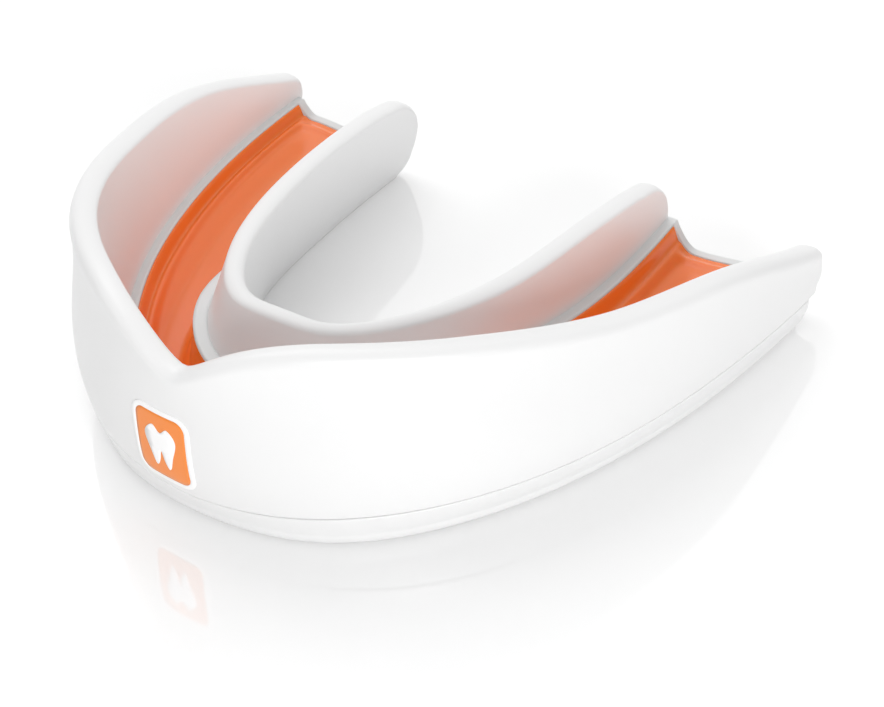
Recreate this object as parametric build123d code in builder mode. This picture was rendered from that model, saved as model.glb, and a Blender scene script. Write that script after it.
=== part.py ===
"""Boil-and-bite mouthguard for an upper dental arch, as a stack of moulded layers, in millimetres.

The arch opens towards +Y and its front teeth are at -Y. The flanges stand up along +Z from a flat sole at Z = 0.
The origin is under the middle of the guard. Every layer follows one arch line: a section is drawn square to that
line at each station, from offsets measured outwards from the line, and the sections are lofted. Layers that touch
are cut from one another, so they meet face to face.
"""

import math
import os

from build123d import *

# ---- arch line: half a superellipse, front midline at station 0, back of each arm at station 1 ----
ARCH_HALF_WIDTH = 22.6
ARCH_FRONT_Y = -18.4
ARCH_BACK_Y = 30.6
ARCH_POWER = 2.2

# ---- offsets from the arch line and heights at the front midline, the canine, the premolars, the first
# ---- molar, the second molar and past the back of the arm (stations 0, 0.2, 0.4, 0.6, 0.8 and 1) ----
OUTER_FOOT = (6.9, 7.4, 7.2, 7.4, 7.7, 7.7)
OUTER_RIM = (8.6, 7.8, 8.4, 9.1, 9.0, 8.3)
OUTER_RIM_THICK = (2.3, 2.4, 2.5, 2.6, 2.5, 2.6)
OUTER_BOW = (1.0, 1.3, 1.75, 1.3, 0.7, 0.5)
OUTER_HEIGHT = (19.8, 20.0, 18.9, 16.2, 13.1, 5.9)
INNER_FOOT = (-7.0, -6.4, -5.2, -4.8, -6.2, -7.3)
INNER_RIM = (-6.8, -6.2, -6.5, -7.4, -8.7, -9.4)
INNER_RIM_THICK = (2.1, 2.1, 2.1, 2.1, 2.1, 2.2)
INNER_HEIGHT = (13.4, 13.3, 12.8, 12.1, 11.4, 9.0)
INNER_BOW = 0.4
SEAM_Z = (3.1, 3.8, 4.2, 4.0, 3.6, 3.0)
OUTER_LEDGE = (4.8, 4.9, 5.2, 5.9, 6.3, 5.9)
OUTER_FLOOR = (4.3, 4.4, 4.7, 5.3, 5.5, 5.0)
OUTER_LEDGE_Z = (4.6, 4.6, 4.8, 5.0, 4.9, 4.9)
INNER_LEDGE = (-3.0, -2.2, -2.6, -4.8, -6.2, -7.6)
INNER_LEDGE_Z = (7.2, 7.7, 7.7, 6.3, 5.3, 5.0)
INNER_FLOOR = (-2.6, -1.8, -2.1, -3.2, -4.6, -5.8)
TROUGH_OUTER = (2.6, 2.2, 2.4, 3.2, 3.8, 3.4)
TROUGH_OUTER_Z = (2.6, 2.6, 2.7, 3.0, 3.3, 3.4)
TROUGH_INNER = (-0.8, 0.0, -0.2, -1.9, -3.3, -4.6)

# ---- notch that clears the lip frenum, on the front midline of the outer rim ----
NOTCH_DEPTH = 3.7
NOTCH_HALF_WIDTH = 3.1
NOTCH_POWER = 1.5

# ---- layers, from the floor up ----
SOLE_TOP_Z = 0.9
SOLE_LIP = 1.3
SHELL_FLOOR_TOP_Z = 1.5
LINER_BOTTOM_Z = 2.0
TROUGH_INNER_Z = 2.6
LEDGE_DROP = 0.8
OUTER_LEDGE_WIDTH = 0.8
INNER_LEDGE_WIDTH = 1.0
LINER_LIP_WIDTH = 0.4
FOOT_RADIUS = 0.7

# ---- backs of the arms, seen from the side ----
SHELL_END_Y = 26.7
SHELL_END_TOP_Z = 8.9
SHELL_TOP_CORNER = 5.0
SHELL_FOOT_CORNER = 2.3
RIM_RISE_Y = 12.0
SOLE_END_Y = 25.4
SOLE_END_CORNER = 2.5
TRAY_END_Y = 27.0
LINER_END_Y = 25.9

# ---- molar pads, in windows of the shell floor ----
PAD_STATIONS = (0.62, 0.69, 0.76, 0.83, 0.9)
PAD_BOTTOM_Z = 0.5
PAD_MARGIN = 1.6

# ---- front inserts, in slots of the lip-side wall ----
INSERT_STATIONS = (0.12, 0.17, 0.22, 0.28, 0.35)
INSERT_SKIN = 0.5
INSERT_THICK = 0.7
INSERT_TOP_Z = 12.5

# ---- badge on the front ----
BADGE_STATIONS = (-0.16, -0.1, -0.05, 0.0, 0.05, 0.1, 0.16)
BADGE_X = -1.9
BADGE_Z = 7.9
BADGE_WIDTH = 6.4
BADGE_HEIGHT = 7.8
BADGE_CORNER = 1.5
BADGE_BORDER = 0.5
BADGE_DEPTH = 0.35
BADGE_PROUD = 0.1
BADGE_BAND_Z = (3.5, 5.0, 6.5, 8.0, 9.5, 11.0, 12.5)
BADGE_PLANE = Plane(origin=(BADGE_X, 0, BADGE_Z), x_dir=(1, 0, 0), z_dir=(0, -1, 0))
TOOTH_WIDTH = 3.3
TOOTH_HEIGHT = 4.2

# ---- how the sections and lofts are sampled and how far cutting shapes run past what they cut ----
BOW_SCALE = 27 / 4
BOW_SHARES = (0.12, 0.3, 0.6)
HALF_STATIONS = (0.03, 0.06, 0.1, 0.15, 0.2, 0.27, 0.35, 0.44, 0.53, 0.62, 0.71, 0.8, 0.9, 1.0)
STATIONS = [-t for t in reversed(HALF_STATIONS)] + [0.0] + list(HALF_STATIONS)
CLEAR = 1.0
OVERLAP = 0.3
REACH = 40.0


def along(values, station):
    """Smooth value at a station, through the values listed every fifth of the arm, level at the midline."""
    steps = len(values) - 1
    position = min(abs(station), 1.0) * steps
    i = min(int(position), steps - 1)
    f = position - i
    slopes = [0.0] + [(values[k + 1] - values[k - 1]) / 2 for k in range(1, steps)]
    slopes.append(values[-1] - values[-2])
    ends = values[i] * (1 + 2 * f) * (1 - f) ** 2 + values[i + 1] * f * f * (3 - 2 * f)
    return ends + slopes[i] * f * (1 - f) ** 2 - slopes[i + 1] * f * f * (1 - f)


def arch_point(station):
    """Plan position of the arch line."""
    angle = abs(station) * math.pi / 2
    across = ARCH_HALF_WIDTH * math.sin(angle) ** (2 / ARCH_POWER)
    ahead = (ARCH_BACK_Y - ARCH_FRONT_Y) * max(math.cos(angle), 0.0) ** (2 / ARCH_POWER)
    return math.copysign(across, station), ARCH_BACK_Y - ahead


def arch_plane(station):
    """Upright plane square to the arch line: its x is the outward offset and its y is the height."""
    x, y = arch_point(station)
    length = ARCH_BACK_Y - ARCH_FRONT_Y
    out_x = (abs(x) / ARCH_HALF_WIDTH) ** (ARCH_POWER - 1) / ARCH_HALF_WIDTH
    out_y = ((ARCH_BACK_Y - y) / length) ** (ARCH_POWER - 1) / length
    out = Vector(math.copysign(out_x, station), -out_y, 0).normalized()
    return Plane(origin=(x, y, 0), x_dir=out, z_dir=out.cross(Vector(0, 0, 1)))


def outer_crest(station):
    """Height of the outer flange, with the frenum notch."""
    across = abs(arch_point(station)[0])
    notch = NOTCH_DEPTH * math.exp(-((across / NOTCH_HALF_WIDTH) ** NOTCH_POWER))
    return along(OUTER_HEIGHT, station) - notch


def outer_face(station, z):
    """Offset of the outer face at a height: bowed from the foot to the rim, most at a third of the way up."""
    shoulder = outer_crest(station) - along(OUTER_RIM_THICK, station) / 2
    share = (z - FOOT_RADIUS) / (shoulder - FOOT_RADIUS)
    foot, rim = along(OUTER_FOOT, station), along(OUTER_RIM, station)
    return foot + (rim - foot) * share + along(OUTER_BOW, station) * BOW_SCALE * share * (1 - share) ** 2


def body_outline(station):
    """The white body in section: sole, floor and both flanges, around the channel that holds the tray."""
    thick, crest = along(OUTER_RIM_THICK, station), outer_crest(station)
    thin, inner_crest = along(INNER_RIM_THICK, station), along(INNER_HEIGHT, station)
    foot, rim = along(OUTER_FOOT, station), along(OUTER_RIM, station)
    inner_foot, inner_rim = along(INNER_FOOT, station), along(INNER_RIM, station)
    ledge, ledge_z = along(OUTER_LEDGE, station), along(OUTER_LEDGE_Z, station) - LEDGE_DROP
    inner_ledge, inner_ledge_z = along(INNER_LEDGE, station), along(INNER_LEDGE_Z, station) - LEDGE_DROP
    shoulder, inner_shoulder = crest - thick / 2, inner_crest - thin / 2
    inner_waist = (FOOT_RADIUS + inner_shoulder) / 2
    heights = [FOOT_RADIUS + (shoulder - FOOT_RADIUS) * share for share in BOW_SHARES]
    corner = FOOT_RADIUS * (1 - math.sqrt(0.5))
    Polyline(
        (inner_foot + FOOT_RADIUS, 0),
        (inner_foot + FOOT_RADIUS + CLEAR, -CLEAR),
        (foot - FOOT_RADIUS - CLEAR, -CLEAR),
        (foot - FOOT_RADIUS, 0),
    )
    ThreePointArc((foot - FOOT_RADIUS, 0), (foot - corner, corner), (foot, FOOT_RADIUS))
    Spline((foot, FOOT_RADIUS), *[(outer_face(station, z), z) for z in heights], (rim, shoulder))
    ThreePointArc((rim, shoulder), (rim - thick / 2, crest), (rim - thick, shoulder))
    Polyline(
        (rim - thick, shoulder),
        (ledge, ledge_z),
        (along(OUTER_FLOOR, station), SHELL_FLOOR_TOP_Z),
        (along(INNER_FLOOR, station), SHELL_FLOOR_TOP_Z),
        (inner_ledge, inner_ledge_z),
        (inner_rim + thin, inner_shoulder),
    )
    ThreePointArc(
        (inner_rim + thin, inner_shoulder), (inner_rim + thin / 2, inner_crest), (inner_rim, inner_shoulder)
    )
    Spline(
        (inner_rim, inner_shoulder),
        ((inner_rim + inner_foot) / 2 - INNER_BOW, inner_waist),
        (inner_foot, FOOT_RADIUS),
    )
    ThreePointArc(
        (inner_foot, FOOT_RADIUS), (inner_foot + corner, corner), (inner_foot + FOOT_RADIUS, 0)
    )


def sole_outline(station):
    """Everything below the parting line: flat under the shell's floor, with a lip up to the seam outside."""
    seam_z = along(SEAM_Z, station)
    lip = outer_face(station, seam_z) - SOLE_LIP
    inside, outside = along(INNER_FOOT, station) - 2 * CLEAR, along(OUTER_RIM, station) + CLEAR
    Polyline(
        (inside, -CLEAR),
        (outside, -CLEAR),
        (outside, seam_z),
        (lip, seam_z),
        (lip, SOLE_TOP_Z),
        (inside, SOLE_TOP_Z),
        close=True,
    )


def tray_outline(station):
    """Tray and liner together: two ledges against the flanges and the bite trough between them."""
    ledge, ledge_z = along(OUTER_LEDGE, station), along(OUTER_LEDGE_Z, station)
    inner_ledge, inner_ledge_z = along(INNER_LEDGE, station), along(INNER_LEDGE_Z, station)
    step = OUTER_LEDGE_WIDTH + LINER_LIP_WIDTH
    inner_step = INNER_LEDGE_WIDTH + LINER_LIP_WIDTH
    Polyline(
        (inner_ledge + inner_step, inner_ledge_z),
        (inner_ledge - 2 * OVERLAP, inner_ledge_z),
        (along(INNER_FLOOR, station) - 2 * OVERLAP, SHELL_FLOOR_TOP_Z - OVERLAP),
        (ledge + 2 * OVERLAP, SHELL_FLOOR_TOP_Z - OVERLAP),
        (ledge + 2 * OVERLAP, ledge_z),
        (ledge - step, ledge_z),
        (along(TROUGH_OUTER, station), along(TROUGH_OUTER_Z, station)),
        (along(TROUGH_INNER, station), TROUGH_INNER_Z),
        close=True,
    )


def liner_outline(station):
    """The pocket that the liner fills in the tray, open at the top."""
    inner = along(INNER_LEDGE, station) + INNER_LEDGE_WIDTH
    outer = along(OUTER_LEDGE, station) - OUTER_LEDGE_WIDTH
    Polyline(
        (along(INNER_FLOOR, station) + INNER_LEDGE_WIDTH, LINER_BOTTOM_Z),
        (outer, LINER_BOTTOM_Z),
        (outer, REACH),
        (inner, REACH),
        (inner, along(INNER_LEDGE_Z, station) - LEDGE_DROP),
        close=True,
    )


def pad_outline(station):
    """Molar pad, from a pocket in the sole up through the shell's floor."""
    inner, outer = along(INNER_FLOOR, station) + PAD_MARGIN, along(OUTER_LEDGE, station) - PAD_MARGIN
    top = SHELL_FLOOR_TOP_Z + OVERLAP
    Polyline((inner, PAD_BOTTOM_Z), (outer, PAD_BOTTOM_Z), (outer, top), (inner, top), close=True)


def insert_outline(station):
    """Front insert, just under the outer face, standing on the sole's lip."""
    bottom = along(SEAM_Z, station) - OVERLAP
    low, high = outer_face(station, bottom) - INSERT_SKIN, outer_face(station, INSERT_TOP_Z) - INSERT_SKIN
    Polyline(
        (low, bottom),
        (high, INSERT_TOP_Z),
        (high - INSERT_THICK, INSERT_TOP_Z),
        (low - INSERT_THICK, bottom),
        close=True,
    )


def badge_outline(station):
    """A thin band that follows the outer face, sunk into it and standing a little proud."""
    faces = [(outer_face(station, z), z) for z in BADGE_BAND_Z]
    outer = [(face + BADGE_PROUD, z) for face, z in faces]
    inner = [(face - BADGE_DEPTH, z) for face, z in reversed(faces)]
    Polyline(*outer, *inner, close=True)


def end_outline(end, top, foot_z):
    """Side view of what is kept of a layer: up to a back edge, and under a line just above the rims."""
    rise = (end - RIM_RISE_Y) / 2
    Polyline(
        (-REACH, foot_z),
        (end, foot_z),
        (end, top),
        (RIM_RISE_Y, top + rise),
        (RIM_RISE_Y, REACH),
        (-REACH, REACH),
        close=True,
    )


def tooth_outline():
    """Generic tooth: a crown with two cusps over two roots."""
    half, low, high = TOOTH_WIDTH / 2, -TOOTH_HEIGHT / 2, TOOTH_HEIGHT / 2
    Spline(
        (0, high * 0.72),
        (half * 0.5, high),
        (half, high * 0.5),
        (half * 0.72, low * 0.35),
        (half * 0.45, low),
        (half * 0.2, low * 0.7),
        (0, low * 0.15),
        (-half * 0.2, low * 0.7),
        (-half * 0.45, low),
        (-half * 0.72, low * 0.35),
        (-half, high * 0.5),
        (-half * 0.5, high),
        periodic=True,
    )


# ---- cutting shapes: what is kept of each layer at the backs of the arms ----
with BuildPart() as shell_reach:
    with BuildSketch(Plane.YZ):
        with BuildLine():
            end_outline(SHELL_END_Y, SHELL_END_TOP_Z, SOLE_TOP_Z)
        make_face()
        foot, top = vertices().group_by(Axis.X)[-1].sort_by(Axis.Y)
        fillet(foot, SHELL_FOOT_CORNER)
        fillet(top, SHELL_TOP_CORNER)
    extrude(amount=REACH, both=True)

with BuildPart() as sole_reach:
    with BuildSketch(Plane.YZ):
        with BuildLine():
            end_outline(SOLE_END_Y, SHELL_END_TOP_Z, 0)
        make_face()
        fillet(vertices().group_by(Axis.X)[-1].sort_by(Axis.Y)[0], SOLE_END_CORNER)
    extrude(amount=REACH, both=True)

with BuildPart() as tray_reach:
    with BuildSketch(Plane.YZ):
        with Locations((TRAY_END_Y, 0)):
            Rectangle(2 * REACH, REACH, align=(Align.MAX, Align.MIN))
    extrude(amount=REACH, both=True)

with BuildPart() as liner_reach:
    with BuildSketch(Plane.YZ):
        with Locations((LINER_END_Y, 0)):
            Rectangle(2 * REACH, REACH, align=(Align.MAX, Align.MIN))
    extrude(amount=REACH, both=True)

# ---- the white body in one piece, before it is parted into shell and sole ----
with BuildPart() as body:
    for station in STATIONS:
        with BuildSketch(arch_plane(station)):
            with BuildLine():
                body_outline(station)
            make_face()
    loft()
    split(bisect_by=Plane.XY, keep=Keep.TOP)

with BuildPart() as below_seam:
    for station in STATIONS:
        with BuildSketch(arch_plane(station)):
            with BuildLine():
                sole_outline(station)
            make_face()
    loft()

# ---- what lies in the channel ----
with BuildPart() as tray_and_liner:
    for station in STATIONS:
        with BuildSketch(arch_plane(station)):
            with BuildLine():
                tray_outline(station)
            make_face()
    loft()
    add(body, mode=Mode.SUBTRACT)
    add(tray_reach, mode=Mode.INTERSECT)

with BuildPart() as liner_pocket:
    for station in STATIONS:
        with BuildSketch(arch_plane(station)):
            with BuildLine():
                liner_outline(station)
            make_face()
    loft()
    add(liner_reach, mode=Mode.INTERSECT)

with BuildPart() as gel_liner:
    add(tray_and_liner)
    add(liner_pocket, mode=Mode.INTERSECT)

with BuildPart() as liner_tray:
    add(tray_and_liner)
    add(liner_pocket, mode=Mode.SUBTRACT)


# ---- molar pads and front inserts ----
pads, inserts = {}, {}
for side, sign in (("left", -1), ("right", 1)):
    with BuildPart() as molar_pad:
        for station in PAD_STATIONS:
            with BuildSketch(arch_plane(sign * station)):
                with BuildLine():
                    pad_outline(sign * station)
                make_face()
        loft()
        add(body, mode=Mode.INTERSECT)
    pads[side] = molar_pad

    with BuildPart() as front_insert:
        for station in INSERT_STATIONS:
            with BuildSketch(arch_plane(sign * station)):
                with BuildLine():
                    insert_outline(sign * station)
                make_face()
        loft()
        add(below_seam, mode=Mode.SUBTRACT)
    inserts[side] = front_insert

# ---- badge: border, field and a plain tooth as its emblem ----
with BuildPart() as badge_band:
    for station in BADGE_STATIONS:
        with BuildSketch(arch_plane(station)):
            with BuildLine():
                badge_outline(station)
            make_face()
    loft()

with BuildPart() as badge_blank:
    with BuildSketch(BADGE_PLANE):
        RectangleRounded(BADGE_WIDTH, BADGE_HEIGHT, BADGE_CORNER)
    extrude(amount=REACH)
    add(badge_band, mode=Mode.INTERSECT)

with BuildPart() as badge_face:
    with BuildSketch(BADGE_PLANE):
        RectangleRounded(BADGE_WIDTH, BADGE_HEIGHT, BADGE_CORNER)
        offset(amount=-BADGE_BORDER, mode=Mode.REPLACE)
    extrude(amount=REACH)

with BuildPart() as tooth:
    with BuildSketch(BADGE_PLANE):
        with BuildLine():
            tooth_outline()
        make_face()
    extrude(amount=REACH)

with BuildPart() as badge_border:
    add(badge_blank)
    add(badge_face, mode=Mode.SUBTRACT)

with BuildPart() as badge_field:
    add(badge_blank)
    add(badge_face, mode=Mode.INTERSECT)
    add(tooth, mode=Mode.SUBTRACT)

with BuildPart() as badge_emblem:
    add(badge_blank)
    add(tooth, mode=Mode.INTERSECT)

# ---- shell and sole ----
with BuildPart() as outer_shell:
    add(body)
    add(below_seam, mode=Mode.SUBTRACT)
    add(shell_reach, mode=Mode.INTERSECT)
    for side in pads:
        add(pads[side], mode=Mode.SUBTRACT)
        add(inserts[side], mode=Mode.SUBTRACT)
    add(badge_blank, mode=Mode.SUBTRACT)

with BuildPart() as bite_sole:
    add(body)
    add(below_seam, mode=Mode.INTERSECT)
    add(sole_reach, mode=Mode.INTERSECT)
    for side in pads:
        add(pads[side], mode=Mode.SUBTRACT)

# ---- files ----
os.makedirs("parts", exist_ok=True)

outer_shell.part.label = "outer_shell"
export_step(outer_shell.part, "parts/outer_shell.step")

bite_sole.part.label = "bite_sole"
export_step(bite_sole.part, "parts/bite_sole.step")

liner_tray.part.label = "liner_tray"
export_step(liner_tray.part, "parts/liner_tray.step")

gel_liner.part.label = "gel_liner"
export_step(gel_liner.part, "parts/gel_liner.step")

badge_border.part.label = "badge_border"
export_step(badge_border.part, "parts/badge_border.step")

badge_field.part.label = "badge_field"
export_step(badge_field.part, "parts/badge_field.step")

badge_emblem.part.label = "badge_emblem"
export_step(badge_emblem.part, "parts/badge_emblem.step")

for side in pads:
    pads[side].part.label = f"molar_pad_{side}"
    export_step(pads[side].part, f"parts/molar_pad_{side}.step")
    inserts[side].part.label = f"front_insert_{side}"
    export_step(inserts[side].part, f"parts/front_insert_{side}.step")
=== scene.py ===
import math

import bmesh
import bpy
import numpy as np
from mathutils import Matrix, Vector
from mathutils.geometry import tessellate_polygon


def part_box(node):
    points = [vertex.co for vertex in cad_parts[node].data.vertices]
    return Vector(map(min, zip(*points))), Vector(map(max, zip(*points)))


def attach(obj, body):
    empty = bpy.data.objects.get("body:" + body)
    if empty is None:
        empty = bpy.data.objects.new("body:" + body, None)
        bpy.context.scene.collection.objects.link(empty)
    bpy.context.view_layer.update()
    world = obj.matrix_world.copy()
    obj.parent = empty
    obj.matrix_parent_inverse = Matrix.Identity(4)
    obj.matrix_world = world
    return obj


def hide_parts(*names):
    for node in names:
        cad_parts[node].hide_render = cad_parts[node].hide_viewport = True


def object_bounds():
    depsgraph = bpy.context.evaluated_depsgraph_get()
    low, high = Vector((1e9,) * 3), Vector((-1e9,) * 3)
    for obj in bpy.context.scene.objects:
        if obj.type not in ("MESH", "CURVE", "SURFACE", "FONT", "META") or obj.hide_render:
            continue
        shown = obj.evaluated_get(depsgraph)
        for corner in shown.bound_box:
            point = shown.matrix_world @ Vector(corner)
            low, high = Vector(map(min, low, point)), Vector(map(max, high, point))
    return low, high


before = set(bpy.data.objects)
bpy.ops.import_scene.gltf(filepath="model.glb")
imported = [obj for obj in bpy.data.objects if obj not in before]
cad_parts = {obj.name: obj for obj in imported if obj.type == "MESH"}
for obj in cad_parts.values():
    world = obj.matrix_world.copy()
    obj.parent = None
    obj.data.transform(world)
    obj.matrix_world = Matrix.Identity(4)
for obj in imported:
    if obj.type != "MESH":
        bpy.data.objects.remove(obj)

cad_low, cad_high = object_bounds()
shell_low, shell_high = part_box("outer_shell")
badge_low, badge_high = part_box("badge_border")

# The shape below is written in millimetres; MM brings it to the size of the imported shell.
SHELL_WIDTH = 62.04
MM = (shell_high.x - shell_low.x) / SHELL_WIDTH

# ---- arch line and sections ----
# Each list runs from the midline to the end of an arm in steps of a fifth. FOOT, RIM, LEDGE and
# TROUGH are offsets outward from the arch line, THICK is a wall's thickness, and HEIGHT and Z are
# heights above the floor.
HALF_WIDTH = 22.6
FRONT_Y = -18.4
BACK_Y = 30.6
POWER = 2.2
OUTER_FOOT = (6.9, 7.4, 7.2, 7.4, 7.7, 7.7)
OUTER_RIM = (8.6, 7.8, 8.4, 9.1, 9.0, 8.3)
OUTER_THICK = (2.3, 2.4, 2.5, 2.6, 2.5, 2.6)
OUTER_BOW = (1.0, 1.3, 1.75, 1.3, 0.7, 0.5)
OUTER_HEIGHT = (19.8, 20.0, 18.9, 16.2, 13.1, 5.9)
INNER_FOOT = (-7.0, -6.4, -5.2, -4.8, -6.2, -7.5)
INNER_RIM = (-6.8, -6.2, -6.5, -7.4, -8.8, -9.7)
INNER_THICK = (2.1, 2.1, 2.1, 2.1, 2.1, 2.2)
INNER_HEIGHT = (13.4, 13.3, 12.8, 12.1, 11.6, 9.8)
OUTER_LEDGE = (4.8, 4.9, 5.2, 5.9, 6.3, 5.9)
OUTER_LEDGE_Z = (4.6, 4.6, 4.8, 5.0, 4.9, 4.9)
INNER_LEDGE = (-3.0, -2.2, -2.6, -4.8, -6.3, -8.0)
INNER_LEDGE_Z = (7.2, 7.7, 7.7, 6.3, 5.3, 5.2)
TROUGH_OUTER = (2.6, 2.2, 2.4, 3.2, 3.8, 3.4)
TROUGH_OUTER_Z = (2.6, 2.6, 2.7, 3.0, 3.3, 3.4)
TROUGH_INNER = (-0.8, 0.0, -0.2, -1.9, -3.3, -4.6)
NOTCH = (3.7, 3.1, 1.5)
SEAM_Z = (3.1, 3.8, 4.2, 4.0, 3.6, 3.0)
SOLE_Z = 0.9
SHELL_FLOOR_Z = 1.5
TROUGH_Z = 2.6
INNER_LIP = 1.0
OUTER_LIP = 0.8
FOOT_Z = 0.7
BOW_SCALE = 27 / 4
LINGUAL_BOW = 0.4
LEDGE_SINK = 0.8
LOWEST_SHARE = -0.3
FOOT_FLARE = 0.3


def along(values, t):
    """Smooth value at station t (array) through values listed at even steps, level at the midline."""
    values = np.asarray(values, float)
    n = len(values) - 1
    p = np.minimum(np.abs(t), 1.0) * n
    i = np.minimum(p.astype(int), n - 1)
    f = p - i
    m = np.empty(n + 1)
    m[0] = 0
    m[1:n] = (values[2:] - values[:-2]) / 2
    m[n] = values[n] - values[n - 1]
    ends = values[i] * (1 + 2 * f) * (1 - f) ** 2 + values[i + 1] * f * f * (3 - 2 * f)
    return ends + m[i] * f * (1 - f) ** 2 - m[i + 1] * f * f * (1 - f)


def arch(t):
    """Arch line and its outward normal at stations t."""
    a = np.abs(t) * math.pi / 2
    x = HALF_WIDTH * np.sin(a) ** (2 / POWER)
    gap = (BACK_Y - FRONT_Y) * np.maximum(np.cos(a), 0) ** (2 / POWER)
    length = BACK_Y - FRONT_Y
    nx = (x / HALF_WIDTH) ** (POWER - 1) / HALF_WIDTH
    ny = (gap / length) ** (POWER - 1) / length
    size = np.hypot(nx, ny)
    side = np.sign(t)
    return x * side, BACK_Y - gap, nx / size * side, -ny / size


def place(t, o, z):
    """Points in metres from stations, outward offsets and heights in millimetres."""
    x, y, nx, ny = arch(t)
    return np.stack([(x + nx * o) * MM, (y + ny * o) * MM, z * MM + 0 * x], -1)


def arm_y(t):
    """How far back a station of the arch line lies, in millimetres."""
    return place(t, 0.0, 0.0)[..., 1] / MM


def station_at(y_want, o=0.0):
    """Station on an arm where the offset line o reaches y_want."""
    low, high = 0.5, 1.0
    for _ in range(40):
        mid = (low + high) / 2
        y = place(np.array(mid), o, 0.0)[1] / MM
        low, high = (mid, high) if y < y_want else (low, mid)
    return low


def smooth(x):
    """Smooth step from 0 to 1."""
    x = np.clip(x, 0, 1)
    return x * x * (3 - 2 * x)


def crest(t):
    """Height of the outer rim, with the notch at the midline."""
    across = np.abs(arch(t)[0])
    return along(OUTER_HEIGHT, t) - NOTCH[0] * np.exp(-((across / NOTCH[1]) ** NOTCH[2]))


def outer_face(t, z):
    """Offset of the lip-side face, which bows outward low down."""
    shoulder = crest(t) - along(OUTER_THICK, t) / 2
    share = (z - FOOT_Z) / (shoulder - FOOT_Z)
    foot, rim = along(OUTER_FOOT, t), along(OUTER_RIM, t)
    return foot + (rim - foot) * share + along(OUTER_BOW, t) * BOW_SCALE * share * (1 - share) ** 2


def seam(t):
    """Height of the seam between the shell and the sole."""
    return along(SEAM_Z, t)


def outer_channel(t, z):
    """Offset of the outer flange's face in the channel, straight from the ledge to the rim."""
    shoulder = crest(t) - along(OUTER_THICK, t) / 2
    ledge, ledge_z = along(OUTER_LEDGE, t), along(OUTER_LEDGE_Z, t) - LEDGE_SINK
    top = along(OUTER_RIM, t) - along(OUTER_THICK, t)
    return ledge + (top - ledge) * np.maximum((z - ledge_z) / (shoulder - ledge_z), LOWEST_SHARE)


def inner_channel(t, z):
    """Offset of the inner flange's face in the channel; below the ledge the wall thickens."""
    shoulder = along(INNER_HEIGHT, t) - along(INNER_THICK, t) / 2
    ledge, ledge_z = along(INNER_LEDGE, t), along(INNER_LEDGE_Z, t) - LEDGE_SINK
    top = along(INNER_RIM, t) + along(INNER_THICK, t)
    above = ledge + (top - ledge) * np.maximum((z - ledge_z) / (shoulder - ledge_z), 0)
    return above + FOOT_FLARE * np.maximum(ledge_z - z, 0)


def lingual_face(t, z):
    """Offset of the tongue-side face, bowed towards the tongue."""
    shoulder = along(INNER_HEIGHT, t) - along(INNER_THICK, t) / 2
    share = (z - FOOT_Z) / (shoulder - FOOT_Z)
    foot, rim = along(INNER_FOOT, t), along(INNER_RIM, t)
    return foot + (rim - foot) * share - LINGUAL_BOW * 4 * share * (1 - share)


# ---- mesh helpers ----
MERGE_DISTANCE = 2e-6
SHORTEST_EDGE = 1e-6


def add_mesh(name, points, faces, material, nodes):
    """Smooth-shaded piece that rides the root body and stands in for the named CAD nodes."""
    mesh = bpy.data.meshes.new(name)
    mesh.from_pydata([tuple(p) for p in points], [], faces)
    bm = bmesh.new()
    bm.from_mesh(mesh)
    bmesh.ops.remove_doubles(bm, verts=bm.verts, dist=MERGE_DISTANCE)
    bmesh.ops.dissolve_degenerate(bm, edges=bm.edges, dist=SHORTEST_EDGE)
    bmesh.ops.recalc_face_normals(bm, faces=bm.faces)
    for f in bm.faces:
        f.smooth = True
    bm.to_mesh(mesh)
    bm.free()
    obj = bpy.data.objects.new(name, mesh)
    bpy.context.scene.collection.objects.link(obj)
    obj.data.materials.append(material)
    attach(obj, "root")
    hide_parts(*nodes)


def grid_faces(rows, cols):
    corners = [i * cols + j for i in range(rows - 1) for j in range(cols - 1)]
    return [(k, k + 1, k + cols + 1, k + cols) for k in corners]


def closed_pair(a, b):
    """Points and faces of the closed skin between two grids that meet along their edges."""
    rows, cols = a.shape[:2]
    points = np.concatenate([a.reshape(-1, 3), b.reshape(-1, 3)])
    faces = grid_faces(rows, cols)
    shift = rows * cols
    faces += [tuple(shift + k for k in reversed(face)) for face in faces]
    return points, faces


def distance(px, pz, line):
    """Distance of points to a polyline in the plane."""
    best = np.full(px.shape, 1e9)
    for (x0, z0), (x1, z1) in zip(line[:-1], line[1:]):
        dx, dz = x1 - x0, z1 - z0
        span = dx * dx + dz * dz
        if span < 1e-12:
            continue
        s = np.clip(((px - x0) * dx + (pz - z0) * dz) / span, 0, 1)
        best = np.minimum(best, np.hypot(px - x0 - s * dx, pz - z0 - s * dz))
    return best


def rounded(d, r, p=2.0):
    """Share of the full half thickness at distance d from an edge rounded over r."""
    q = 1 - np.clip(d / r, 0, 1)
    return np.maximum(1 - q**p, 0) ** (1 / p)


END_STEPS = 0.028 * np.array([0, 0.01, 0.02, 0.03, 0.045, 0.06, 0.08, 0.1, 0.12, 0.13, 0.14, 0.15, 0.16])
END_JOIN = 0.006


def end_spacing(reach, count):
    """Stations from one end to the other, close together near the ends."""
    fine = reach - np.cumsum(END_STEPS)
    middle = np.linspace(-fine[-1] + END_JOIN, fine[-1] - END_JOIN, count)
    return np.concatenate([-fine, middle, fine[::-1]])


def quarter(count):
    """Shares from 0 to 1 over a quarter turn, close together near 0."""
    return 1 - np.cos(np.linspace(0, math.pi / 2, count))


def row_spacing(count, edge_low, edge_high):
    """Shares from 0 to 1, close together near both ends."""
    low = edge_low * quarter(8)
    high = 1 - edge_high * quarter(12)[::-1]
    return np.concatenate([low, np.linspace(edge_low, 1 - edge_high, count)[1:-1], high])


FLANGE_COLUMNS = 190
FLANGE_ROWS = 34
RIM_BLEND = 0.6


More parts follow.
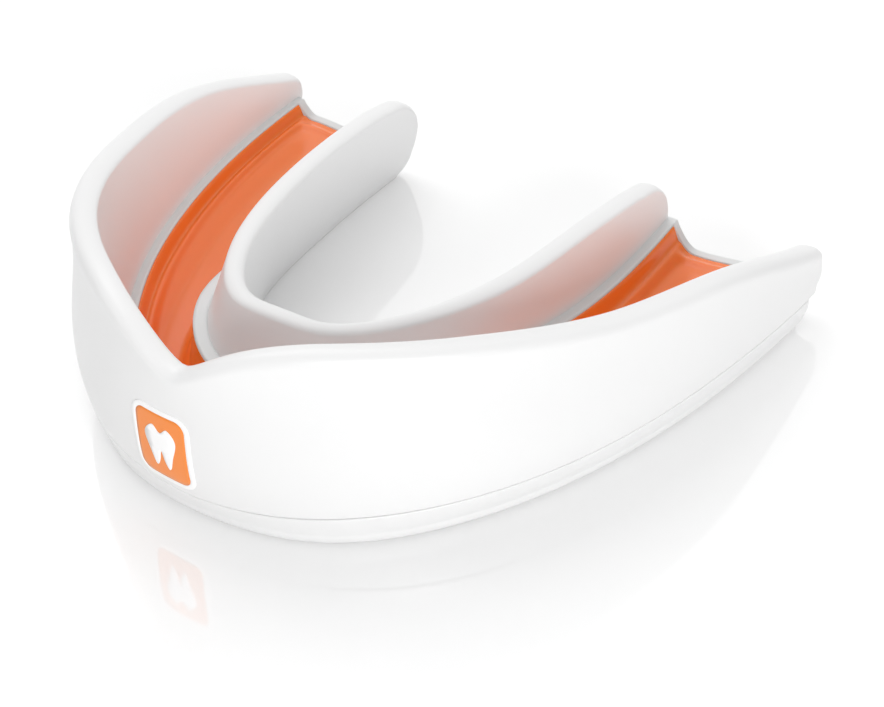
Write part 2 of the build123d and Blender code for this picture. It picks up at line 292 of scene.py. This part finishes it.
def flange(end_y, radius, centre_z, top_of, face_a, face_b, foot_of, foot_corner, r_a, r_b, r_foot, mid_o):
    """A standing wall: rounded along its rim and down its D-shaped back ends, square at its foot.

    The back end follows a circle of the given radius and centre height, and its lower corner rises over
    foot_corner (length, height). r_a, r_b and r_foot round the two faces and the foot, and mid_o is the
    offset at which the wall's length is measured.
    """
    reach = station_at(end_y, mid_o)
    t = end_spacing(reach, FLANGE_COLUMNS)
    y = place(t, mid_o, 0.0)[:, 1] / MM
    gap = np.clip(y - (end_y - radius), 0, radius)
    circle = centre_z + np.sqrt(np.maximum(radius**2 - gap**2, 0))
    line = top_of(t)
    near = y > end_y - radius
    h = np.clip(0.5 + (line - circle) / (2 * RIM_BLEND), 0, 1)
    top = np.where(near, line + (circle - line) * h - RIM_BLEND * h * (1 - h), line)
    rise_y, rise_z = foot_corner
    q = np.clip((y - (end_y - rise_y)) / rise_y, 0, 1)
    bottom = foot_of(t) + rise_z * (1 - np.sqrt(np.maximum(1 - q * q, 0)))
    shares = row_spacing(FLANGE_ROWS, 0.03, 0.09)
    tt, ss = np.meshgrid(t, shares)
    z = bottom + (top - bottom) * ss
    x = place(t, mid_o, 0.0)[:, 0] / MM
    run = np.concatenate([[0], np.cumsum(np.hypot(np.diff(x), np.diff(y)))])
    ends = [(run[0], bottom[0])] + list(zip(run, top)) + [(run[-1], bottom[-1])]
    corner = [(r, b) for r, b, yy in zip(run, bottom, y) if yy > end_y - rise_y * 0.72]
    half = len(corner) // 2
    run_grid = np.broadcast_to(run, z.shape)
    d = distance(run_grid, z, ends)
    if half > 1:
        d = np.minimum(d, distance(run_grid, z, corner[:half]))
        d = np.minimum(d, distance(run_grid, z, corner[half:]))
    d_foot = z - bottom
    a, b = face_a(tt, z), face_b(tt, z)
    middle, w = (a + b) / 2, (a - b) / 2
    foot = rounded(d_foot, r_foot)
    grid_a = place(tt, middle + w * rounded(d, r_a) * foot, z)
    grid_b = place(tt, middle - w * rounded(d, r_b) * foot, z)
    return closed_pair(grid_a, grid_b)


def sandwich(t, o, top, bottom, share):
    """Skin of a layer whose full thickness is reduced to the given share near its edges."""
    middle, half = (top + bottom) / 2, (top - bottom) / 2 * share
    return closed_pair(place(t, o, middle + half), place(t, o, middle - half))


SLAB_EDGE = 0.05


def slab(end_y, low_of, high_of, top_of, bottom_of, radius, rows, cols):
    """A lying layer between two offset lines, with its edges and ends rounded above and below."""
    edge = SLAB_EDGE * quarter(8)
    shares = np.concatenate([edge, np.linspace(SLAB_EDGE, 1 - SLAB_EDGE, rows)[1:-1], 1 - edge[::-1]])
    t = end_spacing(station_at(end_y), cols)
    tt, ss = np.meshgrid(t, shares)
    low, high = low_of(tt), high_of(tt)
    o = low + (high - low) * ss
    side = np.minimum(o - low, high - o)
    back = np.maximum(end_y - arm_y(tt), 0)
    half = rounded(side, radius) * rounded(back, radius)
    return sandwich(tt, o, top_of(tt, o), bottom_of(tt, o), half)


def merge(*parts):
    points, faces, count = [], [], 0
    for p, f in parts:
        points.append(p)
        faces.extend(tuple(i + count for i in face) for face in f)
        count += len(p)
    return np.concatenate(points), faces


# ---- materials ----
ROUGHNESS_SPREAD = 0.04
GRAIN_DEPTH = 0.0002
COAT_ROUGHNESS = 0.12
SCATTER_DEPTH = 0.002


def material(name, colour, roughness, specular=0.5, coat=0.0, sss=0.0, sss_colour=(1, 1, 1), bump=0.02,
             scale=900.0, tint=0.02, tint_scale=60.0):
    """Moulded material with a faint uneven tint, a fine grain and a slightly varying gloss."""
    mat = bpy.data.materials.new(name)
    mat.use_nodes = True
    nodes, links = mat.node_tree.nodes, mat.node_tree.links
    shader = nodes["Principled BSDF"]
    coords = nodes.new("ShaderNodeTexCoord")
    fine = nodes.new("ShaderNodeTexNoise")
    fine.inputs["Scale"].default_value = scale
    fine.inputs["Detail"].default_value = 4
    broad = nodes.new("ShaderNodeTexNoise")
    broad.inputs["Scale"].default_value = tint_scale
    broad.inputs["Detail"].default_value = 3
    ramp = nodes.new("ShaderNodeMapRange")
    ramp.inputs["From Min"].default_value = 0.3
    ramp.inputs["From Max"].default_value = 0.7
    ramp.inputs["To Min"].default_value = 1 - tint
    ramp.inputs["To Max"].default_value = 1.0
    mix = nodes.new("ShaderNodeMix")
    mix.data_type = "RGBA"
    mix.blend_type = "MULTIPLY"
    mix.inputs["Factor"].default_value = 1.0
    mix.inputs["A"].default_value = (*colour, 1)
    links.new(coords.outputs["Object"], fine.inputs["Vector"])
    links.new(coords.outputs["Object"], broad.inputs["Vector"])
    links.new(broad.outputs["Fac"], ramp.inputs["Value"])
    links.new(ramp.outputs["Result"], mix.inputs["B"])
    links.new(mix.outputs["Result"], shader.inputs["Base Color"])
    rough = nodes.new("ShaderNodeMapRange")
    rough.inputs["To Min"].default_value = roughness - ROUGHNESS_SPREAD
    rough.inputs["To Max"].default_value = roughness + ROUGHNESS_SPREAD
    links.new(fine.outputs["Fac"], rough.inputs["Value"])
    links.new(rough.outputs["Result"], shader.inputs["Roughness"])
    relief = nodes.new("ShaderNodeBump")
    relief.inputs["Strength"].default_value = bump
    relief.inputs["Distance"].default_value = GRAIN_DEPTH
    links.new(fine.outputs["Fac"], relief.inputs["Height"])
    links.new(relief.outputs["Normal"], shader.inputs["Normal"])
    shader.inputs["Specular IOR Level"].default_value = specular
    shader.inputs["Coat Weight"].default_value = coat
    shader.inputs["Coat Roughness"].default_value = COAT_ROUGHNESS
    if sss:
        shader.inputs["Subsurface Weight"].default_value = sss
        shader.inputs["Subsurface Radius"].default_value = sss_colour
        shader.inputs["Subsurface Scale"].default_value = SCATTER_DEPTH
    return mat


white = material("white_tpe", (0.8, 0.8, 0.8), 0.34, tint=0.015)
white_sole = material("white_sole", (0.8, 0.8, 0.8), 0.36, tint=0.015)
grey = material("tray_grey", (0.74, 0.76, 0.76), 0.4, tint=0.03)
orange = material("gel_orange", (1.0, 0.2, 0.02), 0.24, specular=0.35, coat=0.2, sss=0.2,
                  sss_colour=(1, 0.35, 0.1), scale=500.0, tint=0.04, tint_scale=150.0)
badge_orange = material("badge_orange", (0.88, 0.25, 0.035), 0.32, tint=0.03)
badge_white = material("badge_white", (0.92, 0.92, 0.92), 0.32, tint=0.01)
elastomer = material("shock_elastomer", (0.2, 0.2, 0.21), 0.6, tint=0.1)
insert = material("insert_plastic", (0.75, 0.76, 0.78), 0.45, tint=0.03)

# ---- white shell: two flanges and the floor between them ----
OUTER_END = 27.9
INNER_END = 27.1
FLOOR_END = 24.9
FLOOR_OVERLAP = 0.8
INNER_CLEAR = 0.6
INNER_FOOT_Z = 0.02


def floor_inner_edge(t):
    return np.maximum(along(INNER_LEDGE, t) - FLOOR_OVERLAP, along(INNER_FOOT, t) + INNER_CLEAR)


outer = flange(OUTER_END, 4.2, 4.9, crest, outer_face, outer_channel, seam, (2.2, 1.9), 1.1, 0.55, 0.16, 7.0)
inner = flange(INNER_END, 5.4, 5.4, lambda t: along(INNER_HEIGHT, t), inner_channel, lingual_face,
               lambda t: INNER_FOOT_Z + 0 * t, (1.8, 1.8), 0.4, 0.55, 0.1, -7.4)
floor = slab(FLOOR_END, floor_inner_edge, lambda t: along(OUTER_LEDGE, t) + FLOOR_OVERLAP,
             lambda t, o: SHELL_FLOOR_Z + 0 * o, lambda t, o: SOLE_Z + 0 * o, 0.15, 8, 60)
points, faces = merge(outer, inner, floor)
add_mesh("shell_visual", points, faces, white, ["outer_shell"])

# ---- sole ----
SOLE_END = 25.0
SOLE_COLUMNS = 190
SEAM_GAP = 0.02
SEAM_ROUND = 0.16
LIP_WIDTH = 2.0
KNEE_Z = 1.5
FOOT_TUCK = 0.75
HEEL_RISE = 2.3
HEEL_LENGTH = 2.5
HEEL_CORNER = 0.35


def sole_skin():
    """The sole from its seam down to a rounded foot, flat underneath, and rising at its back ends."""
    t = end_spacing(station_at(SOLE_END), SOLE_COLUMNS)
    back = np.maximum(SOLE_END - arm_y(t), 0)
    top_z, foot = seam(t) - SEAM_GAP, along(OUTER_FOOT, t)
    edge = outer_face(t, seam(t))
    inside = lingual_face(t, 0.8) + 0.5
    knee = outer_face(t, KNEE_Z)
    rows = [(inside, SOLE_Z + 0 * t), (edge - LIP_WIDTH, SOLE_Z + 0 * t)]
    rows += [(edge - LIP_WIDTH + 0.1, top_z), (edge - 0.6, top_z)]
    for a in np.linspace(0, math.pi / 2, 7):
        z = top_z - SEAM_ROUND * (1 - math.cos(a))
        rows.append((outer_face(t, z) - SEAM_ROUND * (1 - math.sin(a)), z))
    for share in np.linspace(0.12, 1, 12):
        z = top_z - SEAM_ROUND + (KNEE_Z - top_z + SEAM_ROUND) * share
        rows.append((outer_face(t, z), z))
    for a in np.linspace(0, math.pi / 2, 12)[1:]:
        z = KNEE_Z * (1 - math.sin(a)) + 0 * t
        rows.append((knee - (knee - foot + FOOT_TUCK) * (1 - math.cos(a)), z))
    for share in np.linspace(0.1, 1, 10):
        rows.append((foot - FOOT_TUCK + (inside - foot + FOOT_TUCK) * share, 0 * t))
    rows.append(rows[0])
    o, z = (np.array(values) for values in zip(*rows))
    z = np.maximum(z, HEEL_RISE * (1 - rounded(back, HEEL_LENGTH)))
    shrink = HEEL_CORNER * (1 - rounded(back, HEEL_CORNER))
    o = np.clip(o, inside + shrink, np.maximum(edge - shrink, inside))
    grid = place(np.broadcast_to(t, o.shape), o, z)
    rows, cols = grid.shape[:2]
    faces = grid_faces(rows, cols)
    for end in (0, cols - 1):
        faces.append(tuple(i * cols + end for i in range(rows - 1)))
    return grid.reshape(-1, 3), faces


points, faces = sole_skin()
add_mesh("sole_visual", points, faces, white_sole, ["bite_sole"])


# ---- tray and gel liner ----
LIP_Y = 25.9
TRAY_END = 27.0
TRAY_COLUMNS = 150
TRAY_ROUND = 0.14
TRAY_END_ROUND = 0.16
LIP_CLEAR = 0.0016
LIP_STEP = 0.0005
INNER_TUCK = 0.45
OUTER_TUCK = 0.3
POCKET_DEPTH = 0.75
GEL_DEPTH = 0.7
GEL_ROUND = 0.1
LEDGE_SHARES = (0.3, 0.55, 0.8, 0.985)


def gel_inner_edge(t):
    return along(INNER_LEDGE, t) + INNER_LIP


def gel_outer_edge(t):
    return along(OUTER_LEDGE, t) - OUTER_LIP


def trough(t, o):
    """Height of the lining across the channel: a ledge each side and a rounded trough between them."""
    inner_edge, outer_edge = gel_inner_edge(t), gel_outer_edge(t)
    inner_foot, outer_foot = along(TROUGH_INNER, t), along(TROUGH_OUTER, t)
    across = np.clip((o - inner_foot) / (outer_foot - inner_foot), 0, 1)
    base = TROUGH_Z + (along(TROUGH_OUTER_Z, t) - TROUGH_Z) * smooth(across)
    up_inner = np.clip((inner_foot - o) / (inner_foot - inner_edge), 0, 1) ** 2
    up_outer = np.clip((o - outer_foot) / (outer_edge - outer_foot), 0, 1) ** 2
    return base + (along(INNER_LEDGE_Z, t) - base) * up_inner + (along(OUTER_LEDGE_Z, t) - base) * up_outer


def ridge(distance_in, centre, width):
    """A soft ridge of height 1 along a line at the given distance from an edge."""
    return np.exp(-(((distance_in - centre) / width) ** 2))


def gel_top(t, o):
    """The lining with a bead, a groove and a ridge along its edges, and a shallow bowl towards the front."""
    inner_edge, outer_edge = gel_inner_edge(t), gel_outer_edge(t)
    y = arm_y(t)
    near = np.minimum(o - inner_edge, outer_edge - o)
    edges = 0.14 * ridge(near, 0.22, 0.14) - 0.3 * ridge(near, 0.6, 0.2)
    back = np.maximum(LIP_Y - y, 0.01)
    around = 1 / ((1 / np.maximum(near, 0.01)) ** 3 + (1 / back) ** 3) ** (1 / 3)
    share = (o - inner_edge) / (outer_edge - inner_edge)
    bowl = smooth((share - 0.15) / 0.2) * smooth((0.85 - share) / 0.2) * (1 - smooth((y - 20.5) / 3.5))
    return trough(t, o) + edges + 0.26 * ridge(around, 1.15, 0.3) - 0.45 * bowl


def tray_mesh():
    """The tray: its ledges reach a little into both walls, and the gel's pocket stops at the back lip."""
    lip = station_at(LIP_Y)
    t = end_spacing(station_at(TRAY_END), TRAY_COLUMNS)
    t = t[np.abs(np.abs(t) - lip) > LIP_CLEAR]
    t = np.sort(np.concatenate([t, [-lip - LIP_STEP, -lip + LIP_STEP, lip - LIP_STEP, lip + LIP_STEP]]))
    low = np.maximum(along(INNER_LEDGE, t) - INNER_TUCK, lingual_face(t, 3.0) + 0.1)
    high = along(OUTER_LEDGE, t) + OUTER_TUCK
    gel_low, gel_high = gel_inner_edge(t), gel_outer_edge(t)
    edge = TRAY_ROUND * quarter(6)
    rows = [(low + step, 0) for step in edge]
    rows += [(low + (gel_low - low) * share, 0) for share in LEDGE_SHARES]
    rows += [(gel_low + (gel_high - gel_low) * share, 1) for share in np.linspace(0, 1, 36)]
    rows += [(high + (gel_high - high) * share, 0) for share in LEDGE_SHARES[::-1]]
    rows += [(high - step, 0) for step in edge[::-1]]
    o = np.array([row[0] for row in rows])
    pocket = np.array([[row[1]] for row in rows]) * (np.abs(t) < lip)
    tt = np.broadcast_to(t, o.shape)
    side = np.minimum(o - low, high - o)
    back = np.maximum(TRAY_END - arm_y(tt), 0)
    half = rounded(side, TRAY_ROUND) * rounded(back, TRAY_END_ROUND)
    bottom = SHELL_FLOOR_Z + 1.8 * smooth((along(INNER_LEDGE, t) + 0.3 - o) / 0.7)
    return sandwich(tt, o, trough(tt, o) - POCKET_DEPTH * pocket, bottom, half)


points, faces = tray_mesh()
add_mesh("tray_visual", points, faces, grey, ["liner_tray"])

points, faces = slab(LIP_Y, gel_inner_edge, gel_outer_edge, gel_top, lambda t, o: trough(t, o) - GEL_DEPTH,
                     GEL_ROUND, 70, 230)
add_mesh("liner_visual", points, faces, orange, ["gel_liner"])

# ---- badge on the front face: a rounded square with a border and a plain tooth ----
BADGE_X = (badge_low.x + badge_high.x) / 2 / MM
BADGE_Z = (badge_low.z + badge_high.z) / 2 / MM
BADGE_W = 6.4
BADGE_H = 7.8
BADGE_CORNER = 1.5
BORDER = 0.5
BEVEL = 0.03
BORDER_PROUD = 0.1
FIELD_PROUD = 0.08
TOOTH_PROUD = 0.16
BADGE_SINK = -0.3
CORNER_STEPS = 10
SIDE_STEPS = 14
SEARCH_REACH = 0.35
TOOTH_W = 3.3
TOOTH_H = 4.2


def badge_point(p, proud):
    """Point of the outer face behind a place in the badge's plane, moved outward by proud."""
    x, z = BADGE_X + p[0], np.array(BADGE_Z + p[1])
    low, high = np.array(-SEARCH_REACH), np.array(SEARCH_REACH)
    for _ in range(30):
        middle = (low + high) / 2
        at = place(middle, outer_face(middle, z), z)[0] / MM
        low, high = (middle, high) if at < x else (low, middle)
    return place(low, outer_face(low, z) + proud, z)


def rounded_square(width, height, radius):
    """Closed outline with points along its sides too, so that it follows the curved face."""
    x, z = width / 2 - radius, height / 2 - radius
    arcs = []
    for turn, (cx, cz) in enumerate(((x, z), (-x, z), (-x, -z), (x, -z))):
        angles = [math.radians(90 * (turn + k / CORNER_STEPS)) for k in range(CORNER_STEPS + 1)]
        arcs.append([(cx + radius * math.cos(a), cz + radius * math.sin(a)) for a in angles])
    line = []
    for arc, following in zip(arcs, arcs[1:] + arcs[:1]):
        (x0, z0), (x1, z1) = arc[-1], following[0]
        shares = [j / SIDE_STEPS for j in range(1, SIDE_STEPS)]
        line += arc + [(x0 + (x1 - x0) * share, z0 + (z1 - z0) * share) for share in shares]
    return line


def ring(inset, proud, scale=1.0):
    """Points on the face along the badge's outline, inset from its edge and scaled about its middle."""
    width, height = (BADGE_W - 2 * inset) * scale, (BADGE_H - 2 * inset) * scale
    outline = rounded_square(width, height, (BADGE_CORNER - inset) * scale)
    return [badge_point(p, proud) for p in outline]


def ring_mesh(rings):
    """Skin through closed rings of the same length."""
    n = len(rings[0])
    faces = []
    for r in range(len(rings) - 1):
        for k in range(n):
            j = (k + 1) % n
            faces.append((r * n + k, r * n + j, r * n + n + j, r * n + n + k))
    return [point for line in rings for point in line], faces


def tooth_line():
    """Smooth closed outline of a tooth with two roots, mirrored about its middle."""
    half, low, high = TOOTH_W / 2, -TOOTH_H / 2, TOOTH_H / 2
    right = [(0, high * 0.72), (half * 0.5, high), (half, high * 0.5), (half * 0.72, low * 0.35)]
    right += [(half * 0.45, low), (half * 0.2, low * 0.7), (0, low * 0.15)]
    marks = [np.array(p) for p in right + [(-x, z) for x, z in reversed(right[1:-1])]]
    count = len(marks)
    line = []
    for i in range(count):
        p0, p1, p2, p3 = (marks[(i + k) % count] for k in (-1, 0, 1, 2))
        for f in np.arange(0, 1, 0.125):
            bend = (2 * p0 - 5 * p1 + 4 * p2 - p3) * f**2 + (3 * p1 - p0 - 3 * p2 + p3) * f**3
            line.append(0.5 * (2 * p1 + (p2 - p0) * f + bend))
    return line


def tooth_mesh():
    """The tooth as a plate that follows the face, filled with small faces so that it bends with it."""
    outline = [Vector((x, z, 0)) for x, z in tooth_line()]
    flat = bmesh.new()
    corners = [flat.verts.new(p) for p in outline]
    for face in tessellate_polygon([outline]):
        flat.faces.new([corners[i] for i in face])
    bmesh.ops.subdivide_edges(flat, edges=flat.edges, cuts=3, use_grid_fill=True)
    flat.verts.index_update()
    n = len(flat.verts)
    points = [badge_point(v.co, proud) for proud in (TOOTH_PROUD, BADGE_SINK) for v in flat.verts]
    faces = [tuple(v.index for v in face.verts) for face in flat.faces]
    faces += [tuple(n + i for i in reversed(face)) for face in faces]
    for edge in flat.edges:
        if edge.is_boundary:
            i, j = (v.index for v in edge.verts)
            faces.append((i, j, n + j, n + i))
    flat.free()
    return points, faces


points, faces = ring_mesh([
    ring(BORDER, BADGE_SINK),
    ring(BORDER, BORDER_PROUD - BEVEL),
    ring(BORDER - BEVEL, BORDER_PROUD),
    ring(BEVEL, BORDER_PROUD),
    ring(0, BORDER_PROUD - BEVEL),
    ring(0, BADGE_SINK),
    ring(BORDER, BADGE_SINK),
])
add_mesh("badge_border_visual", points, faces, badge_white, ["badge_border"])

shrinking = [ring(BORDER, FIELD_PROUD, scale) for scale in (1, 0.9, 0.75, 0.6, 0.45, 0.3, 0.15, 0.0005)]
points, faces = ring_mesh([ring(BORDER, BADGE_SINK)] + shrinking)
faces.append(tuple(range(len(shrinking[0]))))
add_mesh("badge_field_visual", points, faces, badge_orange, ["badge_field"])

points, faces = tooth_mesh()
add_mesh("badge_tooth_visual", points, faces, badge_white, ["badge_emblem"])

# ---- hidden CAD pieces keep their own meshes ----
hidden = {"molar_pad_left": elastomer, "molar_pad_right": elastomer, "front_insert_left": insert,
          "front_insert_right": insert}
for name, inside_material in hidden.items():
    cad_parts[name].data.materials.clear()
    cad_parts[name].data.materials.append(inside_material)

# ---- floor ----
FLOOR_Z = cad_low.z
FLOOR_SPAN = 1.2


def floor_material():
    """White, glossy enough for a faint reflection, and slightly lit from within like a light table."""
    mat = bpy.data.materials.new("floor_white")
    mat.use_nodes = True
    nodes, links = mat.node_tree.nodes, mat.node_tree.links
    shader = nodes["Principled BSDF"]
    noise = nodes.new("ShaderNodeTexNoise")
    noise.inputs["Scale"].default_value = 40
    tone = nodes.new("ShaderNodeMapRange")
    tone.inputs["To Min"].default_value = 0.865
    tone.inputs["To Max"].default_value = 0.875
    links.new(noise.outputs["Fac"], tone.inputs["Value"])
    links.new(tone.outputs["Result"], shader.inputs["Base Color"])
    shader.inputs["Roughness"].default_value = 0.06
    shader.inputs["IOR"].default_value = 2.0
    shader.inputs["Emission Color"].default_value = (1, 1, 1, 1)
    shader.inputs["Emission Strength"].default_value = 0.08
    return mat


corners = [(x * FLOOR_SPAN, y * FLOOR_SPAN, FLOOR_Z) for x, y in ((-1, -1), (1, -1), (1, 1), (-1, 1))]
mesh = bpy.data.meshes.new("floor")
mesh.from_pydata(corners, [], [(0, 1, 2, 3)])
mesh.materials.append(floor_material())
floor_obj = bpy.data.objects.new("floor", mesh)
bpy.context.scene.collection.objects.link(floor_obj)

# ---- viewing direction ----
azimuth, elevation, roll = (math.radians(a) for a in (35.888, 37.382, -2.737))
level = math.cos(elevation)
back = Vector((math.sin(azimuth) * level, -math.cos(azimuth) * level, math.sin(elevation)))


# ---- light ----
def studio_world():
    """Even white surroundings, brighter on the far side so that the floor reflects the object darker."""
    world = bpy.data.worlds.new("studio")
    world.use_nodes = True
    nodes, links = world.node_tree.nodes, world.node_tree.links
    backdrop = nodes["Background"]
    backdrop.inputs["Color"].default_value = (1, 1, 1, 1)
    facing = nodes.new("ShaderNodeTexCoord")
    cosine = nodes.new("ShaderNodeVectorMath")
    cosine.operation = "DOT_PRODUCT"
    cosine.inputs[1].default_value = (-back.x, -back.y, back.z)
    glow = nodes.new("ShaderNodeMapRange")
    glow.interpolation_type = "SMOOTHSTEP"
    glow.inputs["From Min"].default_value = 0.4
    glow.inputs["From Max"].default_value = 0.85
    glow.inputs["To Min"].default_value = 0.46
    glow.inputs["To Max"].default_value = 1.3
    links.new(facing.outputs["Generated"], cosine.inputs[0])
    links.new(cosine.outputs["Value"], glow.inputs["Value"])
    links.new(glow.outputs["Result"], backdrop.inputs["Strength"])
    return world


def lamp(name, where, towards, size, power):
    data = bpy.data.lights.new(name, "AREA")
    data.shape = "RECTANGLE"
    data.size, data.size_y = size
    data.energy = power
    obj = bpy.data.objects.new(name, data)
    bpy.context.scene.collection.objects.link(obj)
    obj.location = where
    obj.rotation_mode = "QUATERNION"
    obj.rotation_quaternion = (Vector(towards) - Vector(where)).to_track_quat("-Z", "Y")


bpy.context.scene.world = studio_world()
lamp("key", (0.44, -0.4, 0.2), (0, 0, 0.005), (0.35, 0.26), 2.35)
lamp("top", (-0.24, 0.14, 0.44), (0, 0, 0), (0.34, 0.34), 0.45)
lamp("fill", (-0.45, -0.3, 0.25), (0, 0, 0.01), (0.3, 0.3), 0.3)

# ---- camera: distance and shifts in millimetres from a point near the middle of the guard ----
DISTANCE = 215.258
SHIFT_RIGHT = 5.670
SHIFT_UP = -6.391
CENTRE_BACK = 1.2
CENTRE_Z = 8

right = Vector((math.cos(azimuth), math.sin(azimuth), 0))
up = back.cross(right)
side = math.cos(roll) * right + math.sin(roll) * up
lift = math.cos(roll) * up - math.sin(roll) * right
middle = (cad_low + cad_high) / 2
centre = Vector((middle.x, middle.y + CENTRE_BACK * MM, FLOOR_Z + CENTRE_Z * MM))
data = bpy.data.cameras.new("camera")
data.sensor_width = 36
data.lens = 98.22
data.clip_start, data.clip_end = 0.005, 10
camera = bpy.data.objects.new("camera", data)
bpy.context.scene.collection.objects.link(camera)
camera.location = centre + (DISTANCE * back + SHIFT_RIGHT * side + SHIFT_UP * lift) * MM
camera.rotation_mode = "QUATERNION"
camera.rotation_quaternion = Matrix((side, lift, back)).transposed().to_quaternion()
bpy.context.scene.camera = camera
bpy.context.scene.view_settings.view_transform = "Standard"
